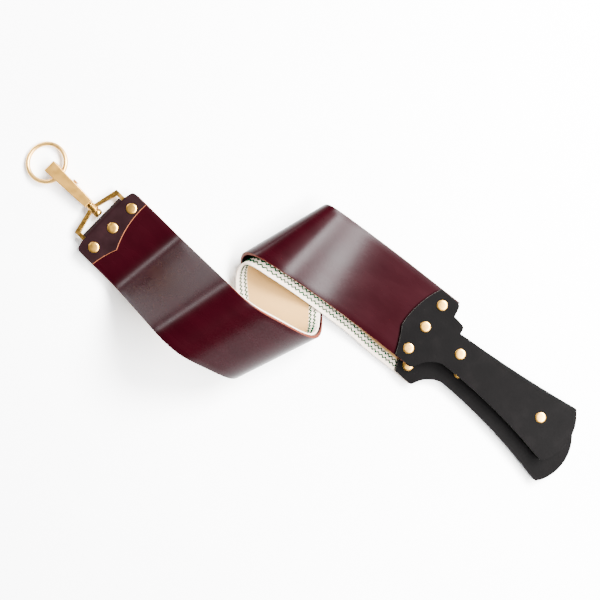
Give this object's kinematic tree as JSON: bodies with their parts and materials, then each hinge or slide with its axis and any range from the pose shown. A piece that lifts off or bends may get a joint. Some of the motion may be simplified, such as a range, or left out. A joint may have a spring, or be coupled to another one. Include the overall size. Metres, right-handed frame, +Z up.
{
  "type": "hanging razor strop",
  "caption": "Hanging razor strop in a loose curl: a leather strap and a woven strap joined by a riveted chape with a brass swivel snap and ring, each ending in a riveted leather handle.",
  "frame": {"origin": "centre of the bounding box in plan, on the surface that the strop lies on", "axes": "+X from the ring along the clip end's axis towards the handles, +Z up out of the surface, +Y to the left of +X"},
  "size_m": [0.5672, 0.2208, 0.0929],
  "materials": {
    "burgundy_leather": "smooth, waxed, glossy",
    "chape_leather": "smooth, satin",
    "black_leather": "fine grain, matt",
    "webbing": "close weave with stitched edge stripes",
    "brass": "brushed and lacquered"
  },
  "bodies": {
    "straps": {"bail_chape": "chape_leather", "leather_strop": "burgundy_leather", "webbing_strop": "webbing", "chape_rivet_far_cap": "brass", "chape_rivet_far_post": "brass", "chape_rivet_middle_cap": "brass", "chape_rivet_middle_post": "brass", "chape_rivet_near_cap": "brass", "chape_rivet_near_post": "brass"},
    "bail": {"bail": "brass"},
    "snap": {"snap_body": "brass", "swivel_stud": "brass", "gate_spring": "brass"},
    "bolt": {"gate_bolt": "brass"},
    "ring": {"ring": "brass"},
    "front_handle": {"front_strap_tab": "burgundy_leather", "front_handle_bottom_leaf": "black_leather", "front_handle_core": "black_leather", "front_handle_top_leaf": "black_leather", "front_rivet_head_far_cap": "brass", "front_rivet_head_far_post": "brass", "front_rivet_head_middle_cap": "brass", "front_rivet_head_middle_post": "brass", "front_rivet_head_near_cap": "brass", "front_rivet_head_near_post": "brass", "front_rivet_neck_cap": "brass", "front_rivet_neck_post": "brass", "front_rivet_butt_cap": "brass", "front_rivet_butt_post": "brass"},
    "rear_handle": {"rear_strap_tab": "webbing", "rear_handle_bottom_leaf": "black_leather", "rear_handle_core": "black_leather", "rear_handle_top_leaf": "black_leather", "rear_rivet_head_far_cap": "brass", "rear_rivet_head_far_post": "brass", "rear_rivet_head_middle_cap": "brass", "rear_rivet_head_middle_post": "brass", "rear_rivet_head_near_cap": "brass", "rear_rivet_head_near_post": "brass", "rear_rivet_neck_cap": "brass", "rear_rivet_neck_post": "brass", "rear_rivet_butt_cap": "brass", "rear_rivet_butt_post": "brass"}
  },
  "joints": [
    {"name": "bail_hinge", "type": "hinge", "parent": "straps", "child": "bail", "pos_m": [-0.18515, -0.07212, 0.00715], "axis": [0, 1, 0], "range_deg": [-30, 30]},
    {"name": "snap_swivel", "type": "hinge", "parent": "bail", "child": "snap", "pos_m": [-0.20035, -0.07212, 0.00715], "axis": [1, 0, 0], "continuous": true},
    {"name": "bolt_slide", "type": "slide", "parent": "snap", "child": "bolt", "axis": [1, 0, 0], "range_m": [0, 0.01], "stiffness_N_per_m": 150, "springref_m": -0.006, "deforming": ["gate_spring"]},
    {"name": "ring_swing", "type": "hinge", "parent": "snap", "child": "ring", "pos_m": [-0.24515, -0.07212, 0.00755], "axis": [0, 1, 0], "range_deg": [-90, 90]},
    {"name": "front_handle_lift", "type": "hinge", "parent": "straps", "child": "front_handle", "pos_m": [0.07781, 0.06419, 0.0176], "axis": [0.108, -0.9942, 0], "range_deg": [0, 60]},
    {"name": "rear_handle_drop", "type": "hinge", "parent": "straps", "child": "rear_handle", "pos_m": [0.09055, 0.05357, 0.0043], "axis": [-0.0732, 0.9973, 0], "range_deg": [0, 45]}
  ]
}
